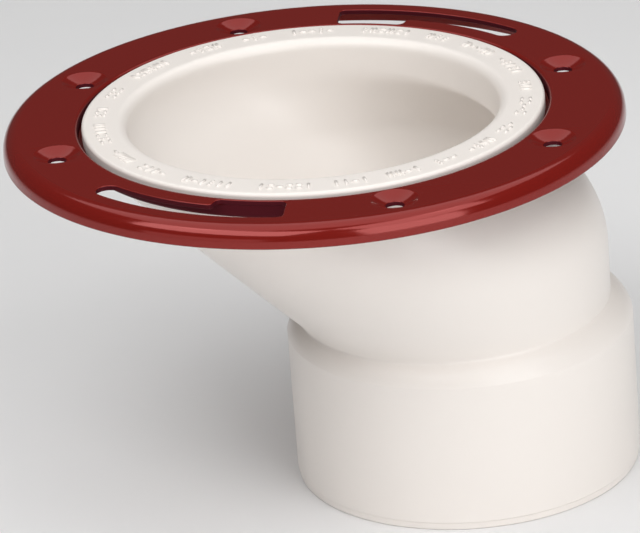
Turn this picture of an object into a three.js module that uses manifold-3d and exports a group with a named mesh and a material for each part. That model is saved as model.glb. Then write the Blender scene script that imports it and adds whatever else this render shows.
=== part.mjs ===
// Offset closet flange with a steel swivel ring, in millimetres, +Z up.
// The floor ring turns about the Z axis through x = y = 0. The pipe hub stands on z = 0 and
// sits OFFSET to the +X side. The moulding is one piece on the real object: here it is three
// nodes that meet on flat planes, because its hollow bends.
import * as THREE from 'three';
import { mergeVertices } from 'three/addons/utils/BufferGeometryUtils.js';
import Module from 'manifold-3d';

const wasm = await Module();
wasm.setup();

// Driving dimensions
const TOTAL_HEIGHT = 114.3;          // hub end to the top of the lip, 4 1/2 in
const OFFSET = 38.1;                 // ring axis to hub axis, 1 1/2 in
const LIP_RADIUS = 66.7;             // top lip, 5 1/4 in across
const LIP_THICKNESS = 4.4;
const MOUTH_RADIUS = 56.7;           // bowl mouth at the top face
const MOUTH_BEND = 3;
const BOWL_RADIUS = 53.5;            // bowl at its foot, inside
const BOWL_OUTSIDE = 60.5;
const BOWL_FOOT = 102.3;             // height where the bowl turns into the slanted neck
const THROAT_RADIUS = 38.95;         // bore of 3 in pipe
const THROAT_OUTSIDE = 44.45;
const HUB_RADIUS = 50.6;             // slides inside 4 in pipe
const HUB_HEIGHT = 44.5;             // top of the hub's upright wall
const SOCKET_RADIUS = 44.7;          // takes 3 in pipe, 88.9 across
const SOCKET_DEPTH = 38.1;
const SHOULDER_RADIUS = 10;
const SHOULDER_LEAN = 15;            // the shoulder starts this far off upright, a crisp edge
const ELBOW_OUTSIDE = 32;            // bend of the neck's far side, outside
const ELBOW_INSIDE = 26;
const HUB_CHAMFER = 2.4;

const RING_RADIUS = 89.7;            // 7 in size, 179.4 across the rolled rim
const RING_HEIGHT = 6.2;             // rim foot to flat top
const RING_BOTTOM = 107.3;           // height of the rim foot
const SHEET = 1.5;                   // steel thickness
const RIM_BEND = 4.6;
const LEDGE_TOP = 109.6;              // the lip rests on this recessed ledge
const LEDGE_HOLE = 61.3;
const RECESS_RADIUS = 68;
const RECESS_BEND = 1.2;
const PATTERN_TURN = 60.5;           // direction of the first bolt slot at rest, degrees
const SCREW_CIRCLE = 76.2;           // 6 in across
const SCREW_PITCH = 45;
const SCREW_HOLE = 2.6;
const SCREW_SINK = 5.6;
const SINK_DEPTH = 1.9;
const SLOT_OUTER = 81.1;
const SLOT_NARROW = 74.2;
const SLOT_WIDE = 69.7;
const SLOT_HALF_ANGLE = 22;
const SLOT_STEP_ANGLE = 5.5;         // where the narrow part opens into the wide part
const SLOT_CORNER = 1.6;
const LUG_COUNT = 6;
const LUG_REACH = 62.2;
const LUG_TOP = 107.8;
const LUG_BOTTOM = 105.4;
const LUG_WIDTH = 9;

const STEPS = 64;
const RING_STEPS = 72;
const radians = THREE.MathUtils.degToRad;

function toSolid(geometry) {
  const bare = geometry.clone();
  bare.deleteAttribute('normal');
  bare.deleteAttribute('uv');
  const merged = mergeVertices(bare, 1e-4);
  return new wasm.Manifold(new wasm.Mesh({
    numProp: 3,
    vertProperties: new Float32Array(merged.attributes.position.array),
    triVerts: new Uint32Array(merged.index.array),
  }));
}

function toGeometry(solid) {
  const mesh = solid.getMesh();
  const geometry = new THREE.BufferGeometry();
  geometry.setAttribute('position', new THREE.BufferAttribute(mesh.vertProperties, 3));
  geometry.setIndex(new THREE.BufferAttribute(mesh.triVerts, 1));
  geometry.computeVertexNormals();
  return geometry;
}

// A closed outline of [radius, height] points turned about the Z axis.
function turned(outline, steps) {
  const closed = [...outline, outline[0]].map(([radius, height]) => new THREE.Vector2(radius, height));
  const geometry = new THREE.LatheGeometry(closed, steps);
  geometry.rotateX(Math.PI / 2);
  return geometry;
}

// Points on a round corner, from one direction to another, in degrees.
function arc(radius, height, bend, from, to, count) {
  const points = [];
  for (let i = 0; i <= count; i += 1) {
    const angle = radians(from + (to - from) * i / count);
    points.push([radius + bend * Math.cos(angle), height + bend * Math.sin(angle)]);
  }
  return points;
}

// Far side of the neck: upright, then round a bend of the given radius, then at 45 degrees.
function farSide(height, upright, corner, bend) {
  const tangent = bend * Math.tan(radians(22.5));
  if (height <= corner - tangent) return upright;
  const rise = height - (corner - tangent);
  if (rise < bend * Math.sin(radians(45))) {
    return upright - bend + Math.sqrt(bend * bend - rise * rise);
  }
  return upright + corner - height;
}

// Level section of the neck at a height: a circle between its near side and its far side.
function neckCircle(height, bowlRadius, throatRadius, bend) {
  const nearSide = Math.min(BOWL_FOOT - bowlRadius - height, OFFSET - throatRadius);
  const upright = OFFSET + throatRadius;
  const far = farSide(height, upright, BOWL_FOOT + bowlRadius - upright, bend);
  return { centre: (nearSide + far) / 2, radius: (far - nearSide) / 2 };
}

// Distance from the point (origin, 0) out to a circle on the X axis, in one direction.
function reach(origin, circle, angle) {
  const away = circle.centre - origin;
  const across = away * Math.sin(angle);
  return away * Math.cos(angle) + Math.sqrt(circle.radius ** 2 - across ** 2);
}

// Level section of the hub's rounded shoulder at a height.
function shoulderCircle(height) {
  const lean = radians(SHOULDER_LEAN);
  const middle = HUB_RADIUS - SHOULDER_RADIUS * Math.cos(lean);
  const rise = height - HUB_HEIGHT + SHOULDER_RADIUS * Math.sin(lean);
  const bulge = Math.sqrt(Math.max(0, SHOULDER_RADIUS ** 2 - rise ** 2));
  return { centre: OFFSET, radius: middle + bulge };
}

function outsideReach(origin, height, angle) {
  const neck = reach(origin, neckCircle(height, BOWL_OUTSIDE, THROAT_OUTSIDE, ELBOW_OUTSIDE), angle);
  return Math.max(neck, reach(origin, shoulderCircle(height), angle));
}

function insideReach(origin, height, angle) {
  return reach(origin, neckCircle(height, BOWL_RADIUS, THROAT_RADIUS, ELBOW_INSIDE), angle);
}

// The slanted neck: a lathe tube whose every level ring is moved and reshaped to its section.
function neckGeometry() {
  const outsideHeights = [HUB_HEIGHT, 46.5, 48.3, 49.7, 50.7, 51.6, 57, 62, 67, 71, 75, 79, 83, 87, BOWL_FOOT];
  const insideHeights = [BOWL_FOOT, 90, 86, 82, 78, 74, 70, 66, 58, 50, HUB_HEIGHT];
  const levels = [
    ...outsideHeights.map((height) => ({ height, edge: outsideReach })),
    ...insideHeights.map((height) => ({ height, edge: insideReach })),
  ];
  const outline = levels.map(({ height, edge }) => [edge === outsideReach ? 2 : 1, height]);
  const geometry = turned(outline, STEPS);
  const position = geometry.attributes.position;
  const perStep = outline.length + 1;
  for (let i = 0; i < position.count; i += 1) {
    const { height, edge } = levels[(i % perStep) % levels.length];
    const angle = Math.atan2(position.getY(i), position.getX(i));
    const origin = neckCircle(height, BOWL_OUTSIDE, THROAT_OUTSIDE, ELBOW_OUTSIDE).centre;
    const distance = edge(origin, height, angle);
    position.setXYZ(i, origin + distance * Math.cos(angle), distance * Math.sin(angle), height);
  }
  return toGeometry(toSolid(geometry));
}

function hubGeometry() {
  const outline = [
    [SOCKET_RADIUS + 0.8, 0],
    [HUB_RADIUS - 0.9, 0],
    [HUB_RADIUS - 0.4, HUB_CHAMFER - 0.4],
    [HUB_RADIUS, HUB_CHAMFER],
    [HUB_RADIUS, HUB_HEIGHT],
    [THROAT_RADIUS, HUB_HEIGHT],
    [THROAT_RADIUS, SOCKET_DEPTH],
    [SOCKET_RADIUS - 0.3, SOCKET_DEPTH],
    [SOCKET_RADIUS, 1.2],
  ];
  const geometry = turned(outline, STEPS);
  geometry.translate(OFFSET, 0, 0);
  return geometry;
}

// Lip, bowl wall and the small snap lugs that hold the ring up from below.
function collarGeometry() {
  const underLip = TOTAL_HEIGHT - LIP_THICKNESS;
  const outline = [
    [BOWL_RADIUS, BOWL_FOOT],
    [BOWL_OUTSIDE, BOWL_FOOT],
    [BOWL_OUTSIDE, underLip],
    [LIP_RADIUS - 0.4, underLip],
    [LIP_RADIUS, underLip + 0.4],
    ...arc(LIP_RADIUS - 0.8, TOTAL_HEIGHT - 0.8, 0.8, 0, 90, 3),
    ...arc(MOUTH_RADIUS, TOTAL_HEIGHT - MOUTH_BEND, MOUTH_BEND, 90, 178, 4),
  ];
  let solid = toSolid(turned(outline, STEPS));
  for (let i = 0; i < LUG_COUNT; i += 1) {
    solid = solid.add(toSolid(lugGeometry(360 * i / LUG_COUNT)));
  }
  return toGeometry(solid);
}

function lugGeometry(direction) {
  const side = new THREE.Shape();
  side.moveTo(BOWL_OUTSIDE - 1.5, LUG_BOTTOM);
  side.lineTo(BOWL_OUTSIDE + 0.2, LUG_BOTTOM);
  side.lineTo(LUG_REACH, LUG_TOP - 0.8);
  side.lineTo(LUG_REACH, LUG_TOP);
  side.lineTo(BOWL_OUTSIDE - 1.5, LUG_TOP);
  const geometry = new THREE.ExtrudeGeometry(side, { depth: LUG_WIDTH, bevelEnabled: false });
  geometry.rotateX(Math.PI / 2);
  geometry.translate(0, LUG_WIDTH / 2, 0);
  geometry.rotateZ(radians(direction));
  return geometry;
}

// Section of the pressed sheet: recessed ledge, step up to the flat, bend and rim.
function ringSection() {
  const flatTop = RING_BOTTOM + RING_HEIGHT;
  const bendRadius = RING_RADIUS - 0.1 - RIM_BEND;
  const inner = RIM_BEND - SHEET;
  return [
    [LEDGE_HOLE, LEDGE_TOP - SHEET],
    ...arc(RECESS_RADIUS, LEDGE_TOP, SHEET, -90, 0, 2),
    [RECESS_RADIUS + SHEET, flatTop - SHEET],
    ...arc(bendRadius, flatTop - RIM_BEND, inner, 90, 4, 3),
    [RING_RADIUS - SHEET, RING_BOTTOM],
    [RING_RADIUS - 0.2, RING_BOTTOM],
    [RING_RADIUS, RING_BOTTOM + 0.3],
    ...arc(bendRadius, flatTop - RIM_BEND, RIM_BEND, 3, 90, 6),
    ...arc(RECESS_RADIUS + RECESS_BEND, flatTop - RECESS_BEND, RECESS_BEND, 90, 180, 2),
    [RECESS_RADIUS, LEDGE_TOP],
    [LEDGE_HOLE, LEDGE_TOP],
  ];
}

// One keyhole slot about the +X direction, as an outline in plan.
function slotCutter(direction) {
  const outer = radians(SLOT_HALF_ANGLE);
  const step = radians(SLOT_STEP_ANGLE);
  const corner = (radius) => SLOT_CORNER / radius;
  const at = (radius, angle) => [radius * Math.cos(angle), radius * Math.sin(angle)];
  const middle = (SLOT_OUTER + SLOT_NARROW) / 2;
  const end = (SLOT_OUTER - SLOT_NARROW) / 2;
  const endAngle = -outer + end / middle;
  const plan = new THREE.Shape();
  plan.absarc(0, 0, SLOT_OUTER, endAngle, outer - corner(SLOT_OUTER), false);
  plan.quadraticCurveTo(...at(SLOT_OUTER, outer), ...at(SLOT_OUTER - SLOT_CORNER, outer));
  plan.lineTo(...at(SLOT_WIDE + SLOT_CORNER, outer));
  plan.quadraticCurveTo(...at(SLOT_WIDE, outer), ...at(SLOT_WIDE, outer - corner(SLOT_WIDE)));
  plan.absarc(0, 0, SLOT_WIDE, outer - corner(SLOT_WIDE), step + corner(SLOT_WIDE), true);
  plan.quadraticCurveTo(...at(SLOT_WIDE, step), ...at(SLOT_WIDE + SLOT_CORNER, step - 0.006));
  plan.lineTo(...at(SLOT_NARROW, step - 0.03));
  plan.absarc(0, 0, SLOT_NARROW, step - 0.03, endAngle, true);
  plan.absarc(...at(middle, endAngle), end, endAngle + Math.PI, endAngle, false);
  const geometry = new THREE.ExtrudeGeometry(plan, { depth: 12, bevelEnabled: false, curveSegments: 8 });
  geometry.translate(0, 0, RING_BOTTOM - 1);
  geometry.rotateZ(radians(direction));
  return toSolid(geometry);
}

function placedOnCircle(geometry, direction) {
  geometry.translate(SCREW_CIRCLE, 0, 0);
  geometry.rotateZ(radians(direction));
  return toSolid(geometry);
}

// A pressed screw dimple: the sheet dips to a round hole, so it also bulges below.
function dimple(ring, direction) {
  const top = RING_BOTTOM + RING_HEIGHT;
  const bulge = turned([
    [0, top - SHEET - SINK_DEPTH],
    [SCREW_HOLE + 1.3, top - SHEET - SINK_DEPTH],
    [SCREW_SINK + 1.2, top - SHEET],
    [SCREW_SINK + 1.2, top - 0.5],
    [0, top - 0.5],
  ], 16);
  const sink = turned([
    [0, top - 8],
    [SCREW_HOLE, top - 8],
    [SCREW_HOLE, top - SINK_DEPTH],
    [SCREW_SINK, top + 0.01],
    [SCREW_SINK, top + 1],
    [0, top + 1],
  ], 16);
  return ring.add(placedOnCircle(bulge, direction)).subtract(placedOnCircle(sink, direction));
}

function ringGeometry() {
  let ring = toSolid(turned(ringSection(), RING_STEPS));
  for (const side of [0, 180]) {
    ring = ring.subtract(slotCutter(PATTERN_TURN + side));
    for (const place of [1, 2, 3]) {
      ring = dimple(ring, PATTERN_TURN + side + place * SCREW_PITCH);
    }
  }
  return toGeometry(ring);
}

const plastic = () => new THREE.MeshStandardMaterial({ color: '#e8e0d9', roughness: 0.35, metalness: 0 });
const paint = new THREE.MeshStandardMaterial({ color: '#7a2824', roughness: 0.25, metalness: 0.1 });

function piece(name, geometry, material) {
  const mesh = new THREE.Mesh(geometry, material);
  mesh.name = name;
  return mesh;
}

const flange = new THREE.Group();
flange.add(piece('closet_collar', collarGeometry(), plastic()));
flange.add(piece('offset_neck', neckGeometry(), plastic()));
flange.add(piece('pipe_hub', hubGeometry(), plastic()));
flange.add(piece('swivel_ring', ringGeometry(), paint));

export default flange;
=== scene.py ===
"""Offset closet flange with a steel swivel ring. Metres, +Z up, swivel axis at x = y = 0."""

import math

import bmesh
import bpy
import numpy as np
from mathutils import Matrix, Vector
from mathutils.geometry import tessellate_polygon


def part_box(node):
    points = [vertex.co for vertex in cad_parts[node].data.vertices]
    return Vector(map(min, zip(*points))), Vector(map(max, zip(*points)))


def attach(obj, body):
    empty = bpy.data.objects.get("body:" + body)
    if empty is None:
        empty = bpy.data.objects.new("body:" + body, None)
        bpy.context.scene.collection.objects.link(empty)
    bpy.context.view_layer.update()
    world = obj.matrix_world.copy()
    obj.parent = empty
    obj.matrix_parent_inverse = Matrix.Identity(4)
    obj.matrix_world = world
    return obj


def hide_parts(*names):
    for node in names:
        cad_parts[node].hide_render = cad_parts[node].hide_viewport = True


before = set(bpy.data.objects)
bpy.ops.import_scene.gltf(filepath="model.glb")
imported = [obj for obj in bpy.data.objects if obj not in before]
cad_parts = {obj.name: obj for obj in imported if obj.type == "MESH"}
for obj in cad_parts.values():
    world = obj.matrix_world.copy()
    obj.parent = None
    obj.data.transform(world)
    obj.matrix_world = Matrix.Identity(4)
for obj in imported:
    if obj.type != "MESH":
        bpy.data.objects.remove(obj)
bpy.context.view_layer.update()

MM = 0.001
TURN = 2 * math.pi

# Places and main sizes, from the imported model
collar_low, collar_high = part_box("closet_collar")
hub_low, hub_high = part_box("pipe_hub")
ring_low, ring_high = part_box("swivel_ring")
TOP = collar_high[2]
LIP_RADIUS = collar_high[0]
BOWL_FOOT = collar_low[2]
HUB_X = (hub_low[0] + hub_high[0]) / 2
HUB_RADIUS = (hub_high[1] - hub_low[1]) / 2
HUB_TOP = hub_high[2]
RING_RADIUS = ring_high[0]
RING_FOOT = ring_low[2]
RING_TOP = ring_high[2]

WELD = 0.002 * MM           # points closer than this are merged

# Moulding
SIDES = 288                 # points round each level ring
MOULDING_SHARP = math.radians(12)
LIP_THICKNESS = 4.4 * MM
MOUTH_RADIUS = 56.7 * MM
MOUTH_BEND = 3 * MM
BOWL_INSIDE = 53.5 * MM
BOWL_OUTSIDE = 60.5 * MM
THROAT_INSIDE = 38.95 * MM
THROAT_OUTSIDE = 44.45 * MM
ELBOW_INSIDE = 26 * MM
ELBOW_OUTSIDE = 32 * MM
SHOULDER_BEND = 10 * MM
SHOULDER_LEAN = math.radians(15)
SHOULDER_FILLET = 1.2 * MM
NEAR_FILLET = 9 * MM        # bowl wall into neck, inside, on the side the neck leans from
FAR_FILLET = 0.4 * MM
OUTSIDE_FILLET = 2.5 * MM
HARD_CORNER = 0.0001 * MM
NEAR_BLEND = 6 * MM         # slanted side of the neck into its upright foot
BOWL_DRAFT = 0.02           # how much the bowl wall opens per unit of height
BOWL_SOFT_LOW = 0.6 * MM    # closely spaced rings round the bowl's far corner
BOWL_SOFT_HIGH = 0.4 * MM
SHOULDER_END = 54 * MM      # rings are closely spaced from the hub up to here
NECK_INSIDE_FOOT = 46 * MM  # inside, the neck is a plain upright bore below this
SOCKET_DEPTH = 38.1 * MM
SOCKET_RADIUS = 44.7 * MM
SOCKET_TAPER = 0.3 * MM
HUB_STEP = 2.4 * MM         # height of the slightly smaller foot of the hub
LIP_EDGE = 1.1 * MM
LUGS = 6
LUG_HALF_WIDTH = 4.5 * MM
LUG_RAMP = 1.4 * MM         # width over which a lug's side fades into the wall
LUG_REACH = 1.7 * MM
LUG_TOP = 107.8 * MM
LUG_FOOT = 105.4 * MM

# Raised marks on the lip
MARK_SEED = 11
MARK_INSET = 5.2 * MM       # from the lip's edge to the middle of the marks
MARK_HALF_HEIGHT = 0.40 * MM
MARK_BEVEL = 0.15 * MM
MARK_PITCH = math.radians(2.5)
MARK_GAP = (4.0, 8.0)       # degrees between groups, least and most
MARKS_END = TURN - math.radians(14)

# Ring
RING_SIDES = 360
RING_SHARP = math.radians(50)
SHEET = 1.5 * MM
RIM_LEAN = 0.1 * MM
RIM_BEND = 4.6 * MM
LEDGE_TOP = 109.6 * MM
LEDGE_HOLE = 61.3 * MM
RECESS_RADIUS = 68 * MM
RECESS_BEND = 1.2 * MM
LEDGE_BEND = 1.1 * MM
SHEET_CORNER = 0.4 * MM     # rounding of the sheet's cut edge at the rim and the ledge
EDGE = 0.3 * MM             # rounding of the slots' edges
PATTERN_TURN = math.radians(60.5)
SCREW_PITCH = math.radians(45)
SCREW_CIRCLE = 76.2 * MM
SCREW_HOLE = 2.6 * MM
DIMPLE_RADIUS = 6.9 * MM
DIMPLE_DEPTH = 1.9 * MM
DIMPLE_SIDES = 72
DIMPLE_RIM_SHARE = 0.03     # share of the slope that stays level at the dimple's rim
DIMPLE_CURVE = 1.2          # above 1 the slope eases towards the hole
HOLE_CHAMFER = 0.25 * MM
SLOT_OUTER = 81.1 * MM
SLOT_NARROW = 74.2 * MM
SLOT_WIDE = 69.7 * MM
SLOT_HALF_ANGLE = math.radians(22)
SLOT_STEP_ANGLE = math.radians(5.5)
SLOT_CORNER = 2.0 * MM
SLOT_INNER_CORNER = 1.2 * MM
ARC_STEPS = 6               # points in each rounded corner of a slot


# ---------------------------------------------------------------- mesh helpers

def add_to_scene(name, data):
    """A scene object for a mesh, a camera or a light."""
    piece = bpy.data.objects.new(name, data)
    bpy.context.scene.collection.objects.link(piece)
    return piece


def make_object(name, skin, sharp_angle):
    """A mesh object with merged vertices, outward faces and edges kept sharp above an angle."""
    mesh = bpy.data.meshes.new(name)
    mesh.from_pydata([tuple(v) for v in skin.vertices], [], skin.faces)
    work = bmesh.new()
    work.from_mesh(mesh)
    bmesh.ops.remove_doubles(work, verts=work.verts, dist=WELD)
    bmesh.ops.recalc_face_normals(work, faces=work.faces)
    for face in work.faces:
        face.smooth = True
    for edge in work.edges:
        if len(edge.link_faces) == 2 and edge.calc_face_angle(0) > sharp_angle:
            edge.smooth = False
    work.to_mesh(mesh)
    work.free()
    piece = add_to_scene(name, mesh)
    weighted = piece.modifiers.new("flat areas stay flat", "WEIGHTED_NORMAL")
    weighted.keep_sharp = True
    return piece


class Skin:
    """Collects rings of points and the faces between them."""

    def __init__(self):
        self.vertices = []
        self.faces = []

    def ring(self, points):
        """Adds a closed ring of points and returns their indices."""
        start = len(self.vertices)
        self.vertices.extend(points)
        return range(start, start + len(points))

    def strip(self, first, second):
        """Faces between two rings with the same number of points."""
        count = len(first)
        for i in range(count):
            j = (i + 1) % count
            self.faces.append((first[i], first[j], second[j], second[i]))

    def tube(self, outlines):
        """Rings for a list of outlines, with faces from each to the next. Returns the rings."""
        rings = [self.ring(points) for points in outlines]
        for first, second in zip(rings, rings[1:]):
            self.strip(first, second)
        return rings

    def fill(self, loops):
        """Flat fill between an outer loop of points and its holes."""
        start = len(self.vertices)
        for loop in loops:
            self.vertices.extend(loop)
        flat = [[Vector((x, y, 0)) for x, y, _ in loop] for loop in loops]
        for a, b, c in tessellate_polygon(flat):
            self.faces.append((start + a, start + b, start + c))


def circle(radius, height, count, centre=(0.0, 0.0)):
    """Points of a level circle."""
    angles = [TURN * i / count for i in range(count)]
    return [(centre[0] + radius * math.cos(a), centre[1] + radius * math.sin(a), height)
            for a in angles]


def bend(radius, height, size, start, end, count):
    """Profile points (radius, height) round a bend, from one direction to another in degrees."""
    points = []
    for i in range(count + 1):
        a = math.radians(start + (end - start) * i / count)
        points.append((radius + size * math.cos(a), height + size * math.sin(a)))
    return points


# ---------------------------------------------------------------- moulding

def ramp(distance, soft):
    """Zero, then rising at 45 degrees, with a soft corner."""
    if distance <= -soft:
        return 0.0
    if distance >= soft:
        return distance
    return (distance + soft) ** 2 / (4 * soft)


def soft_max(a, b, fillet):
    """The larger of two distances, rounded over where they are nearly equal."""
    overlap = max(fillet - abs(a - b), 0.0) / fillet
    return max(a, b) + overlap * overlap * fillet / 4


def far_side(height, upright, corner, bend_radius, leaning):
    """Far side of the neck: upright, round the elbow, then leaning back over the ring."""
    tangent = bend_radius * math.tan(math.pi / 8)
    rise = height - (corner - tangent)
    if rise <= 0:
        return upright
    if rise < bend_radius * math.sin(math.pi / 4):
        return upright - bend_radius + math.sqrt(bend_radius ** 2 - rise ** 2)
    return leaning


def neck_circle(height, bowl, throat, elbow, soft):
    """Centre and radius of the neck's level section."""
    lean = ramp(BOWL_FOOT - height, soft)
    upright = HUB_X + throat
    near = -soft_max(bowl - lean, throat - HUB_X, NEAR_BLEND)
    far = far_side(height, upright, BOWL_FOOT + bowl - upright, elbow, bowl + lean)
    return (near + far) / 2, (far - near) / 2


def reach(origin, centre, radius, angle):
    """Distance from (origin, 0) out to a circle on the X axis."""
    away = centre - origin
    return away * math.cos(angle) + math.sqrt(radius ** 2 - (away * math.sin(angle)) ** 2)


def shoulder_radius(height):
    """Radius of the hub's rounded shoulder, a large bend that starts at HUB_TOP with a crease."""
    middle = HUB_RADIUS - SHOULDER_BEND * math.cos(SHOULDER_LEAN)
    rise = height - HUB_TOP + SHOULDER_BEND * math.sin(SHOULDER_LEAN)
    return middle + math.sqrt(max(0.0, SHOULDER_BEND ** 2 - rise ** 2))


def outside_ring(height):
    """Level section of the neck's outside, with the hub's shoulder round its foot."""
    centre, radius = neck_circle(height, BOWL_OUTSIDE, THROAT_OUTSIDE, ELBOW_OUTSIDE, OUTSIDE_FILLET)
    points = []
    for i in range(SIDES):
        angle = TURN * i / SIDES
        distance = radius
        if height < HUB_TOP + SHOULDER_BEND:
            shoulder = reach(centre, HUB_X, shoulder_radius(height), angle)
            distance = soft_max(radius, shoulder, SHOULDER_FILLET)
        points.append((centre + distance * math.cos(angle), distance * math.sin(angle), height))
    return points


def wall_radius(height):
    """Bowl wall: almost upright, opening slightly to the mouth."""
    return BOWL_INSIDE + max(0.0, height - BOWL_FOOT) * BOWL_DRAFT


def inside_ring(height):
    """Level section of the waste way. Its near corner is filled with a wide fillet."""
    if height > BOWL_FOOT:
        centre, radius = 0.0, wall_radius(height)
    else:
        centre, radius = neck_circle(height, BOWL_INSIDE, THROAT_INSIDE, ELBOW_INSIDE, HARD_CORNER)
    points = []
    for i in range(SIDES):
        angle = TURN * i / SIDES
        near = (1 - math.cos(angle)) / 2
        soft = FAR_FILLET + (NEAR_FILLET - FAR_FILLET) * near
        depth = BOWL_FOOT - height
        shift = ramp(depth, soft) - max(0.0, depth)
        points.append((centre + radius * math.cos(angle) + shift, radius * math.sin(angle), height))
    return points


def spread(low, high, count):
    """Evenly spaced heights from low up to, but without, high. It also runs downwards."""
    return [low + (high - low) * i / count for i in range(count)]


def lug_ring(height, share):
    """Bowl outside with the snap lugs standing out by a share of their reach."""
    points = []
    for i in range(SIDES):
        angle = TURN * i / SIDES
        off = (angle * LUGS / TURN + 0.5) % 1 - 0.5
        along = abs(off) * TURN / LUGS * BOWL_OUTSIDE
        inside = min(1.0, max(0.0, (LUG_HALF_WIDTH - along) / LUG_RAMP + 0.5))
        radius = BOWL_OUTSIDE + LUG_REACH * share * inside * inside * (3 - 2 * inside)
        points.append((radius * math.cos(angle), radius * math.sin(angle), height))
    return points


def moulding_rings():
    """All level rings of the moulding, from the hub's foot up outside and back down inside."""
    rings = []

    def turned(profile, centre_x):
        rings.extend(circle(r, h, SIDES, (centre_x, 0.0)) for r, h in profile)

    turned([(SOCKET_RADIUS + 1.0 * MM, 0.0), (HUB_RADIUS - 1.3 * MM, 0.0)], HUB_X)
    turned(bend(HUB_RADIUS - 1.0 * MM, 0.6 * MM, 0.6 * MM, -80, 0, 8), HUB_X)
    turned([(HUB_RADIUS - 0.32 * MM, HUB_STEP - 0.35 * MM),
            (HUB_RADIUS - 0.26 * MM, HUB_STEP - 0.15 * MM),
            (HUB_RADIUS - 0.08 * MM, HUB_STEP),
            (HUB_RADIUS, HUB_STEP + 0.15 * MM)], HUB_X)
    turned([(HUB_RADIUS, h) for h in spread(HUB_STEP + 1 * MM, HUB_TOP - 0.4 * MM, 12)], HUB_X)

    rings.extend(outside_ring(h) for h in spread(HUB_TOP, SHOULDER_END, 38))
    rings.extend(outside_ring(h) for h in spread(SHOULDER_END, BOWL_FOOT + 2.6 * MM, 50))

    for height, share in ((LUG_FOOT, 0.0), (LUG_FOOT + 0.3 * MM, 0.18), (LUG_TOP - 0.9 * MM, 0.93),
                          (LUG_TOP - 0.6 * MM, 1.0), (LUG_TOP - 0.15 * MM, 1.0),
                          (LUG_TOP, 0.9), (LUG_TOP, 0.0)):
        rings.append(lug_ring(height, share))

    under_lip = TOP - LIP_THICKNESS
    turned([(BOWL_OUTSIDE, under_lip - 0.4 * MM), (BOWL_OUTSIDE + 0.1 * MM, under_lip - 0.1 * MM),
            (BOWL_OUTSIDE + 0.4 * MM, under_lip), (LIP_RADIUS - 0.5 * MM, under_lip)], 0.0)
    turned(bend(LIP_RADIUS - 0.4 * MM, under_lip + 0.4 * MM, 0.4 * MM, -80, 0, 8), 0.0)
    turned(bend(LIP_RADIUS - LIP_EDGE, TOP - LIP_EDGE, LIP_EDGE, 0, 90, 8), 0.0)
    turned([(LIP_RADIUS - 2 * MM, TOP), (MOUTH_RADIUS + 2 * MM, TOP)], 0.0)
    turned(bend(MOUTH_RADIUS, TOP - MOUTH_BEND, MOUTH_BEND, 90, 177, 12), 0.0)

    wall_end = BOWL_FOOT + BOWL_SOFT_HIGH
    neck_start = BOWL_FOOT - BOWL_SOFT_LOW
    rings.extend(inside_ring(h) for h in spread(TOP - MOUTH_BEND - 0.3 * MM, wall_end, 16))
    rings.extend(inside_ring(h) for h in spread(wall_end, neck_start, 8))
    rings.extend(inside_ring(h) for h in spread(neck_start, NECK_INSIDE_FOOT, 70))

    bore = (NECK_INSIDE_FOOT - 1 * MM, SOCKET_DEPTH + 0.6 * MM)
    turned([(THROAT_INSIDE, h) for h in bore], HUB_X)
    turned(bend(THROAT_INSIDE + 0.5 * MM, SOCKET_DEPTH + 0.5 * MM, 0.5 * MM, 180, 270, 9), HUB_X)
    stop = SOCKET_RADIUS - SOCKET_TAPER
    turned([(THROAT_INSIDE + 1 * MM, SOCKET_DEPTH), (stop - 0.8 * MM, SOCKET_DEPTH)], HUB_X)
    turned(bend(stop - 0.5 * MM, SOCKET_DEPTH - 0.5 * MM, 0.5 * MM, 90, 0, 3), HUB_X)
    turned([(stop + SOCKET_TAPER * (SOCKET_DEPTH - h) / SOCKET_DEPTH, h)
            for h in spread(SOCKET_DEPTH - 2 * MM, 1.2 * MM, 6)], HUB_X)
    turned([(SOCKET_RADIUS + 0.05 * MM, 1.0 * MM), (SOCKET_RADIUS + 0.8 * MM, 0.15 * MM)], HUB_X)
    return rings


def build_moulding():
    """The whole moulding as one closed skin."""
    skin = Skin()
    rings = skin.tube(moulding_rings())
    skin.strip(rings[-1], rings[0])
    return make_object("flange_moulding", skin, MOULDING_SHARP)


# ---------------------------------------------------------------- raised marks on the lip

def build_lip_marks():
    """Raised bars and pips in groups round the lip: a plain stand-in for moulded wording."""
    rng = np.random.default_rng(MARK_SEED)
    middle = LIP_RADIUS - MARK_INSET
    # Each mark is a few bars, in mm: place outwards, place along, half length outwards, half width
    patterns = [[(0.0, 0.0, 1.7, 0.4)],
                [(-1.2, 0.0, 0.4, 0.9), (1.2, 0.0, 0.4, 0.9)],
                [(-1.25, 0.0, 0.45, 0.45), (0.0, 0.0, 0.45, 0.45), (1.25, 0.0, 0.45, 0.45)],
                [(0.0, -0.6, 1.7, 0.35), (0.0, 0.6, 1.7, 0.35)],
                [(0.0, 0.0, 0.4, 0.95)]]
    work = bmesh.new()
    direction = 0.0
    while direction < MARKS_END:
        for _ in range(int(rng.integers(3, 7))):
            for out, along, half_out, half_along in patterns[int(rng.integers(0, len(patterns)))]:
                place = (Matrix.Rotation(direction, 4, "Z")
                         @ Matrix.Translation((middle + out * MM, along * MM, TOP))
                         @ Matrix.Diagonal((half_out * MM, half_along * MM, MARK_HALF_HEIGHT, 1)))
                made = bmesh.ops.create_cube(work, size=2, matrix=place)
                edges = list({e for v in made["verts"] for e in v.link_edges})
                bmesh.ops.bevel(work, geom=edges, offset=MARK_BEVEL, segments=2, affect="EDGES")
            direction += MARK_PITCH
        direction += math.radians(float(rng.uniform(*MARK_GAP)))
    for face in work.faces:
        face.smooth = True
    mesh = bpy.data.meshes.new("lip_marks")
    work.to_mesh(mesh)
    work.free()
    return add_to_scene("lip_marks", mesh)


# ---------------------------------------------------------------- swivel ring

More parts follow.
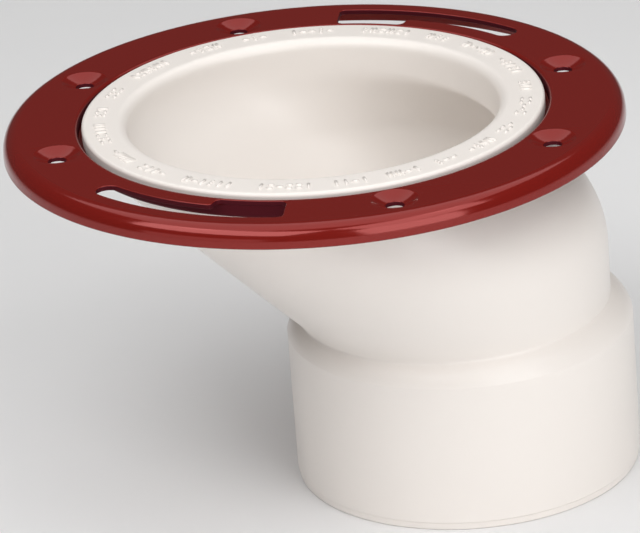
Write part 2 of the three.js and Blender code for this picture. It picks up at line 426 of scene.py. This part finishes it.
def slot_outline(direction, grow):
    """Keyhole slot in plan, grown outwards by a distance. Counts stay the same for every grow."""
    outer, wide, narrow = SLOT_OUTER + grow, SLOT_WIDE - grow, SLOT_NARROW - grow
    middle = (SLOT_OUTER + SLOT_NARROW) / 2
    end = (SLOT_OUTER - SLOT_NARROW) / 2
    end_angle = -SLOT_HALF_ANGLE + end / middle
    right = SLOT_HALF_ANGLE + grow / SLOT_OUTER
    step = SLOT_STEP_ANGLE - grow / SLOT_NARROW
    corner = SLOT_CORNER + grow
    inner_corner = SLOT_INNER_CORNER - grow
    points = []

    def along(radius, start, stop, count):
        points.extend((radius, start + (stop - start) * i / count) for i in range(count))

    def corner_arc(radius, angle, size, sign_r, sign_a, start, stop):
        for i in range(ARC_STEPS):
            t = math.radians(start + (stop - start) * i / ARC_STEPS)
            points.append((radius - sign_r * size * (1 - math.cos(t)),
                           angle - sign_a * size / radius * (1 - math.sin(t))))

    along(outer, end_angle, right - corner / outer, 40)
    corner_arc(outer, right, corner, 1, 1, 0, 90)
    corner_arc(wide, right, corner, -1, 1, 90, 0)
    along(wide, right - corner / wide, step + corner / wide, 16)
    corner_arc(wide, step, corner, -1, -1, 0, 90)
    corner_arc(narrow, step, inner_corner, 1, 1, 90, 0)
    along(narrow, step - inner_corner / narrow, end_angle, 26)
    flat = [(r * math.cos(a), r * math.sin(a)) for r, a in points]
    hub = (middle * math.cos(end_angle), middle * math.sin(end_angle))
    for i in range(16):
        t = end_angle + math.pi + math.pi * i / 16
        flat.append((hub[0] + (end + grow) * math.cos(t), hub[1] + (end + grow) * math.sin(t)))
    turn_cos, turn_sin = math.cos(direction), math.sin(direction)
    return [(x * turn_cos - y * turn_sin, x * turn_sin + y * turn_cos) for x, y in flat]


def raised(outline, height):
    """A plan outline lifted to a height."""
    return [(x, y, height) for x, y in outline]


def dimple_profile():
    """Top of the pressed screw dimple, from its rim down to the hole: (radius, drop)."""
    steps = 14
    points = []
    for i in range(1, steps + 1):
        t = i / steps
        radius = DIMPLE_RADIUS + (SCREW_HOLE + HOLE_CHAMFER - DIMPLE_RADIUS) * t
        slope = max(0.0, t - DIMPLE_RIM_SHARE) / (1 - DIMPLE_RIM_SHARE)
        press = 1 - (1 - slope) ** DIMPLE_CURVE
        points.append((radius, DIMPLE_DEPTH * press))
    return points


def rim_profile(rim_bend_radius, under):
    """The rolled rim, from the flat's top round the foot and back up to the flat's underside."""
    corner = SHEET_CORNER
    foot = RING_FOOT + corner
    profile = bend(rim_bend_radius, RING_TOP - RIM_BEND, RIM_BEND, 90, 2, 24)
    profile += [(RING_RADIUS, RING_FOOT + 0.5 * MM)]
    profile += bend(RING_RADIUS - corner, foot, corner, -10, -90, 4)
    profile += bend(RING_RADIUS - SHEET + corner, foot, corner, 270, 190, 4)
    profile += bend(rim_bend_radius, RING_TOP - RIM_BEND, RIM_BEND - SHEET, 4, 90, 12)[:-1]
    return profile + [(rim_bend_radius, under)]


def recess_profile(recess_edge, wall_out, under):
    """The recess and its ledge, from the flat's top down and back up outside the wall."""
    corner = SHEET_CORNER
    ledge_under = LEDGE_TOP - SHEET
    floor_bend = 0.6 * MM
    profile = bend(recess_edge, RING_TOP - RECESS_BEND, RECESS_BEND, 90, 180, 10)
    profile += bend(RECESS_RADIUS - floor_bend, LEDGE_TOP + floor_bend, floor_bend, 0, -90, 5)
    profile += bend(LEDGE_HOLE + corner, LEDGE_TOP - corner, corner, 90, 180, 4)
    profile += bend(LEDGE_HOLE + corner, ledge_under + corner, corner, 180, 270, 4)
    profile += bend(wall_out - LEDGE_BEND, ledge_under + LEDGE_BEND, LEDGE_BEND, -90, 0, 8)
    return profile + [(wall_out, under - 0.1 * MM), (wall_out, under)]


def slot_wall_profile(under):
    """A slot's wall with rounded edges, top to bottom: (grow, height)."""
    profile = [(EDGE, RING_TOP)]
    profile += [(EDGE * (1 - math.sin(t)), RING_TOP - EDGE * (1 - math.cos(t)))
                for t in (math.radians(a) for a in (25, 50, 75, 90))]
    profile += [(EDGE * (1 - math.sin(t)), under + EDGE * (1 - math.cos(t)))
                for t in (math.radians(a) for a in (90, 60, 30, 0))]
    return profile


def screw_profile(under, under_rim):
    """A pressed dimple with its hole, from the flat's top to its underside."""
    dimple = dimple_profile()
    widen = 0.45 * MM
    profile = [(DIMPLE_RADIUS, RING_TOP)]
    profile += [(r, RING_TOP - drop) for r, drop in dimple]
    profile += [(SCREW_HOLE, RING_TOP - DIMPLE_DEPTH - HOLE_CHAMFER),
                (SCREW_HOLE, under - DIMPLE_DEPTH + 0.2 * MM)]
    profile += [(r + widen * (1 - i / (len(dimple) - 1)), under - drop)
                for i, (r, drop) in enumerate(reversed(dimple))]
    return profile + [(under_rim, under)]


def build_ring():
    """The pressed ring as one closed skin: rim, recess, slots, dimples and both flat faces."""
    skin = Skin()
    under = RING_TOP - SHEET
    rim_bend_radius = RING_RADIUS - RIM_LEAN - RIM_BEND
    recess_edge = RECESS_RADIUS + RECESS_BEND
    wall_out = RECESS_RADIUS + SHEET
    under_rim = DIMPLE_RADIUS + 0.3 * MM
    slots = [PATTERN_TURN, PATTERN_TURN + math.pi]
    screws = [PATTERN_TURN + side + place * SCREW_PITCH
              for side in (0.0, math.pi) for place in (1, 2, 3)]
    centres = [(SCREW_CIRCLE * math.cos(a), SCREW_CIRCLE * math.sin(a)) for a in screws]

    for profile in (rim_profile(rim_bend_radius, under), recess_profile(recess_edge, wall_out, under)):
        skin.tube([circle(r, h, RING_SIDES) for r, h in profile])
    for direction in slots:
        skin.tube([raised(slot_outline(direction, grow), h) for grow, h in slot_wall_profile(under)])
    for centre in centres:
        skin.tube([circle(r, h, DIMPLE_SIDES, centre) for r, h in screw_profile(under, under_rim)])

    for height, inner_radius, hole in ((RING_TOP, recess_edge, DIMPLE_RADIUS),
                                       (under, wall_out, under_rim)):
        skin.fill([circle(rim_bend_radius, height, RING_SIDES),
                   circle(inner_radius, height, RING_SIDES)]
                  + [raised(slot_outline(a, EDGE), height) for a in slots]
                  + [circle(hole, height, DIMPLE_SIDES, c) for c in centres])
    return make_object("painted_ring", skin, RING_SHARP)


# ---------------------------------------------------------------- materials

def node_material(name):
    """A new material with its nodes, links and main shader."""
    material = bpy.data.materials.new(name)
    material.use_nodes = True
    tree = material.node_tree
    return material, tree.nodes, tree.links, tree.nodes["Principled BSDF"]


def noise_node(nodes, links, coordinates, scale, detail):
    """Noise in object space. Scale is in cycles per metre, about."""
    noise = nodes.new("ShaderNodeTexNoise")
    noise.inputs["Scale"].default_value = scale
    noise.inputs["Detail"].default_value = detail
    noise.inputs["Roughness"].default_value = 0.5
    links.new(coordinates.outputs["Object"], noise.inputs["Vector"])
    return noise.outputs["Fac"]


def map_range(nodes, links, source, low, high):
    """Maps 0 to 1 onto low to high. Values outside 0 to 1 carry on past low and high."""
    node = nodes.new("ShaderNodeMapRange")
    node.clamp = False
    node.inputs["To Min"].default_value = low
    node.inputs["To Max"].default_value = high
    links.new(source, node.inputs["Value"])
    return node.outputs["Result"]


def step_node(nodes, links, source, start, stop):
    """0 at start, 1 at stop, smooth between and level beyond. Start may be above stop."""
    node = nodes.new("ShaderNodeMapRange")
    node.interpolation_type = "SMOOTHSTEP"
    node.inputs["From Min"].default_value = start
    node.inputs["From Max"].default_value = stop
    links.new(source, node.inputs["Value"])
    return node.outputs["Result"]


def math_node(nodes, links, operation, *values):
    """A math node. Each value is a node output or a plain number."""
    node = nodes.new("ShaderNodeMath")
    node.operation = operation
    for socket, value in zip(node.inputs, values):
        if isinstance(value, (int, float)):
            socket.default_value = value
        else:
            links.new(value, socket)
    return node.outputs["Value"]


def colour_mix(nodes, links, factor, first, second):
    """Mix of two colours. The first may also be a node output."""
    mix = nodes.new("ShaderNodeMix")
    mix.data_type = "RGBA"
    links.new(factor, mix.inputs["Factor"])
    if isinstance(first, tuple):
        mix.inputs["A"].default_value = (*first, 1)
    else:
        links.new(first, mix.inputs["A"])
    mix.inputs["B"].default_value = (*second, 1)
    return mix.outputs["Result"]


def add_bump(nodes, links, shader, height, depth):
    """Fine relief of a depth in metres, from a height between 0 and 1."""
    bump = nodes.new("ShaderNodeBump")
    bump.inputs["Strength"].default_value = 1.0
    bump.inputs["Distance"].default_value = depth
    links.new(height, bump.inputs["Height"])
    links.new(bump.outputs["Normal"], shader.inputs["Normal"])


def moulded_plastic():
    """Warm white plastic, half gloss, with a faint cloud in its colour."""
    material, nodes, links, shader = node_material("moulded white plastic")
    coordinates = nodes.new("ShaderNodeTexCoord")
    cloudy = noise_node(nodes, links, coordinates, 22, 1)
    ripple = noise_node(nodes, links, coordinates, 35, 0)
    grain = noise_node(nodes, links, coordinates, 700, 1)
    white = colour_mix(nodes, links, cloudy, (0.87, 0.82, 0.775), (0.865, 0.814, 0.768))
    links.new(white, shader.inputs["Base Color"])
    links.new(map_range(nodes, links, ripple, 0.32, 0.37), shader.inputs["Roughness"])
    shader.inputs["IOR"].default_value = 1.5
    add_bump(nodes, links, shader, grain, 0.0004 * MM)
    return material


def painted_shade_mask(nodes, links, coordinates):
    """1 on steep and downward faces inside about 83 mm radius, else 0: the slots' and holes' edges,
    the recess wall and the underside. These faces get painted shade: a darker, duller colour that
    stands in for the shade falling in the hollows and under the sheet."""
    split = nodes.new("ShaderNodeSeparateXYZ")
    links.new(coordinates.outputs["Object"], split.inputs["Vector"])
    flat = nodes.new("ShaderNodeCombineXYZ")
    links.new(split.outputs["X"], flat.inputs["X"])
    links.new(split.outputs["Y"], flat.inputs["Y"])
    length = nodes.new("ShaderNodeVectorMath")
    length.operation = "LENGTH"
    links.new(flat.outputs["Vector"], length.inputs[0])
    facing = nodes.new("ShaderNodeSeparateXYZ")
    links.new(coordinates.outputs["Normal"], facing.inputs["Vector"])
    near = step_node(nodes, links, length.outputs["Value"], 0.0838, 0.0834)
    steep = step_node(nodes, links, facing.outputs["Z"], 0.65, 0.35)
    return math_node(nodes, links, "MULTIPLY", near, steep)


def ring_paint():
    """Dark red gloss paint with a fine orange peel, with painted shade under the mask: a darker colour
    and rougher, weaker reflections.
    """
    material, nodes, links, shader = node_material("dark red gloss paint")
    coordinates = nodes.new("ShaderNodeTexCoord")
    cloudy = noise_node(nodes, links, coordinates, 18, 3)
    peel = noise_node(nodes, links, coordinates, 420, 2)
    painted_shade_amount = painted_shade_mask(nodes, links, coordinates)
    red = colour_mix(nodes, links, cloudy, (0.235, 0.0125, 0.0085), (0.220, 0.0115, 0.008))
    # painted shade: under the mask the red gives way to a near-black red in place of the shade on the
    # walls, in the recess and under the sheet
    paint_with_painted_shade = colour_mix(nodes, links, painted_shade_amount, red, (0.075, 0.006, 0.011))
    links.new(paint_with_painted_shade, shader.inputs["Base Color"])
    gloss = map_range(nodes, links, peel, 0.09, 0.15)
    # painted shade: under the mask the reflections are also made rougher and weaker, so these faces
    # read as shaded
    links.new(math_node(nodes, links, "MULTIPLY_ADD", painted_shade_amount, 0.5, gloss), shader.inputs["Roughness"])
    links.new(math_node(nodes, links, "MULTIPLY_ADD", painted_shade_amount, -0.4, 0.5),
              shader.inputs["Specular IOR Level"])
    shader.inputs["Metallic"].default_value = 0.3
    shader.inputs["IOR"].default_value = 1.5
    add_bump(nodes, links, shader, peel, 0.010 * MM)
    return material


def floor_material():
    """Pale matt floor."""
    material, nodes, links, shader = node_material("pale floor")
    coordinates = nodes.new("ShaderNodeTexCoord")
    fine = noise_node(nodes, links, coordinates, 30, 4)
    links.new(colour_mix(nodes, links, fine, (0.85, 0.85, 0.85), (0.835, 0.835, 0.84)),
              shader.inputs["Base Color"])
    shader.inputs["Roughness"].default_value = 0.8
    shader.inputs["Specular IOR Level"].default_value = 0.1
    return material


# ---------------------------------------------------------------- camera, floor and light

def set_camera():
    """Long lens, about 22 degrees above the ring, slightly rolled."""
    elevation = math.radians(21.25)
    distance = 1.472
    roll = math.radians(-4.5)
    aim = Vector((-1.5 * MM, 0, RING_FOOT - 43.13 * MM))
    place = Vector((0, -distance * math.cos(elevation), RING_FOOT + distance * math.sin(elevation)))
    ahead = (aim - place).normalized()
    right = ahead.cross(Vector((0, 0, 1))).normalized()
    up = right.cross(ahead)
    turned_right = right * math.cos(roll) + up * math.sin(roll)
    turned_up = up * math.cos(roll) - right * math.sin(roll)
    data = bpy.data.cameras.new("camera")
    data.sensor_width = 36
    data.lens = 287.76
    data.clip_start = 0.05
    camera = add_to_scene("camera", data)
    rotation = Matrix((turned_right, turned_up, -ahead)).transposed().to_4x4()
    camera.matrix_world = Matrix.Translation(place) @ rotation
    bpy.context.scene.camera = camera


def area_light(name, direction, height, distance, width, tall, radiance):
    """A soft panel facing the object: direction in degrees from straight in front, + to the right."""
    data = bpy.data.lights.new(name, "AREA")
    data.shape = "RECTANGLE"
    data.size = width
    data.size_y = tall
    data.energy = radiance * math.pi * width * tall
    light = add_to_scene(name, data)
    a = math.radians(direction)
    place = Vector((distance * math.sin(a), -distance * math.cos(a), height))
    light.location = place
    light.rotation_euler = (Vector((0, 0, RING_TOP)) - place).to_track_quat("-Z", "Y").to_euler()


def set_stage():
    """Floor, five soft panels and a dim warm surround."""
    half = 4.0
    corners = [(-half, -half, 0), (half, -half, 0), (half, half, 0), (-half, half, 0)]
    mesh = bpy.data.meshes.new("floor")
    mesh.from_pydata(corners, [], [(0, 1, 2, 3)])
    mesh.materials.append(floor_material())
    floor = add_to_scene("floor", mesh)

    area_light("left low panel", -42, 0.20, 1.25, 1.0, 0.36, 0.7)
    area_light("left high panel", -45, 1.02, 0.78, 1.2, 0.60, 3.1)
    area_light("right low panel", 32, 0.46, 1.2, 0.82, 0.88, 2.9)
    area_light("right high panel", 42, 1.02, 0.78, 0.9, 0.55, 2.4)
    area_light("overhead panel", 180, 1.25, 0.25, 1.6, 1.4, 1.15)

    world = bpy.data.worlds.new("studio")
    world.use_nodes = True
    background = world.node_tree.nodes["Background"]
    background.inputs["Color"].default_value = (1.0, 0.96, 0.92, 1)
    background.inputs["Strength"].default_value = 0.08
    bpy.context.scene.world = world
    bpy.context.scene.view_settings.view_transform = "Standard"


# ---------------------------------------------------------------- assembly

set_camera()
set_stage()

plastic = moulded_plastic()
paint = ring_paint()

moulding = build_moulding()
moulding.data.materials.append(plastic)
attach(moulding, "flange_body")
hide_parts("closet_collar", "offset_neck", "pipe_hub")

marks = build_lip_marks()
marks.data.materials.append(plastic)
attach(marks, "flange_body")

ring = build_ring()
ring.data.materials.append(paint)
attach(ring, "floor_ring")
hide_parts("swivel_ring")
